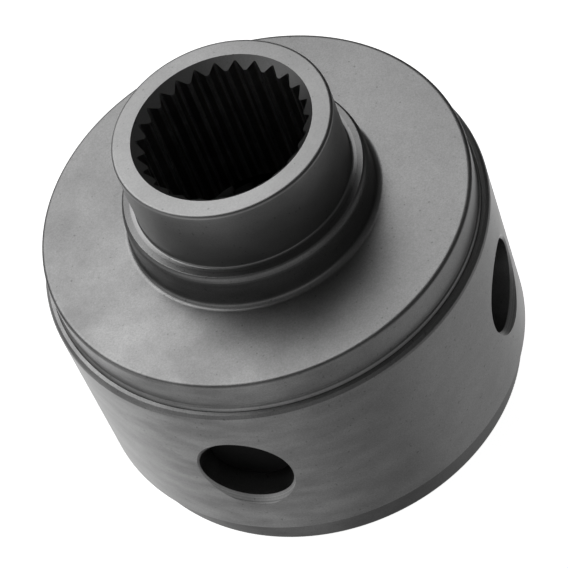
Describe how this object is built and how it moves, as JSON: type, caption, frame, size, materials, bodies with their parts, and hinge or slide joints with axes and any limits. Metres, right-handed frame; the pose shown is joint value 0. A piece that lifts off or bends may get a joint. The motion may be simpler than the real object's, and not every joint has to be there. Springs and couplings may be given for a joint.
{
  "type": "bevel gear differential",
  "caption": "Closed cylindrical bevel gear differential: a sleeve with radial shaft bores, a cover with a raised collar at each end, and splined output hubs.",
  "frame": {"origin": "centre of the pinion shafts, half way between the two covers", "axes": "+Z along the axis of the two splined outputs, out of the upper hub; +X along the cross shaft; +Y along the stub shafts"},
  "size_m": [0.0774, 0.0774, 0.087],
  "materials": {
    "case_steel": "satin dark grey phosphate on turned steel",
    "gear_steel": "satin dark grey phosphate on hardened steel",
    "shaft_steel": "black oxide on ground steel",
    "washer_steel": "bare steel",
    "pin_steel": "bare steel"
  },
  "bodies": {
    "case": {"case_sleeve": "case_steel", "upper_cover": "case_steel", "lower_cover": "case_steel", "cross_shaft": "shaft_steel", "stub_shaft_a": "shaft_steel", "stub_shaft_b": "shaft_steel", "spider_block": "shaft_steel", "pinion_thrust_washer_1": "washer_steel", "pinion_thrust_washer_2": "washer_steel", "pinion_thrust_washer_3": "washer_steel", "pinion_thrust_washer_4": "washer_steel", "upper_side_gear_thrust_washer": "washer_steel", "lower_side_gear_thrust_washer": "washer_steel", "shaft_lock_pin_1": "pin_steel", "shaft_lock_pin_2": "pin_steel", "shaft_lock_pin_3": "pin_steel", "shaft_lock_pin_4": "pin_steel"},
    "upper_output": {"upper_side_gear": "gear_steel"},
    "lower_output": {"lower_side_gear": "gear_steel"},
    "pinion_1": {"pinion_gear_1": "gear_steel"},
    "pinion_2": {"pinion_gear_2": "gear_steel"},
    "pinion_3": {"pinion_gear_3": "gear_steel"},
    "pinion_4": {"pinion_gear_4": "gear_steel"}
  },
  "joints": [
    {"name": "upper_output_spin", "type": "hinge", "parent": "case", "child": "upper_output", "pos_m": [0, 0, 0], "axis": [0, 0, 1], "continuous": true},
    {"name": "lower_output_spin", "type": "hinge", "parent": "case", "child": "lower_output", "pos_m": [0, 0, 0], "axis": [0, 0, 1], "continuous": true},
    {"name": "pinion_1_spin", "type": "hinge", "parent": "case", "child": "pinion_1", "pos_m": [0, 0, 0], "axis": [1, 0, 0], "continuous": true},
    {"name": "pinion_2_spin", "type": "hinge", "parent": "case", "child": "pinion_2", "pos_m": [0, 0, 0], "axis": [0, 1, 0], "continuous": true},
    {"name": "pinion_3_spin", "type": "hinge", "parent": "case", "child": "pinion_3", "pos_m": [0, 0, 0], "axis": [-1, 0, 0], "continuous": true},
    {"name": "pinion_4_spin", "type": "hinge", "parent": "case", "child": "pinion_4", "pos_m": [0, 0, 0], "axis": [0, -1, 0], "continuous": true}
  ],
  "couplings": [
    {"joint": "lower_output_spin", "follows": "upper_output_spin", "ratio": -1},
    {"joint": "pinion_1_spin", "follows": "upper_output_spin", "ratio": -1.6667},
    {"joint": "pinion_2_spin", "follows": "upper_output_spin", "ratio": -1.6667},
    {"joint": "pinion_3_spin", "follows": "upper_output_spin", "ratio": -1.6667},
    {"joint": "pinion_4_spin", "follows": "upper_output_spin", "ratio": -1.6667}
  ]
}
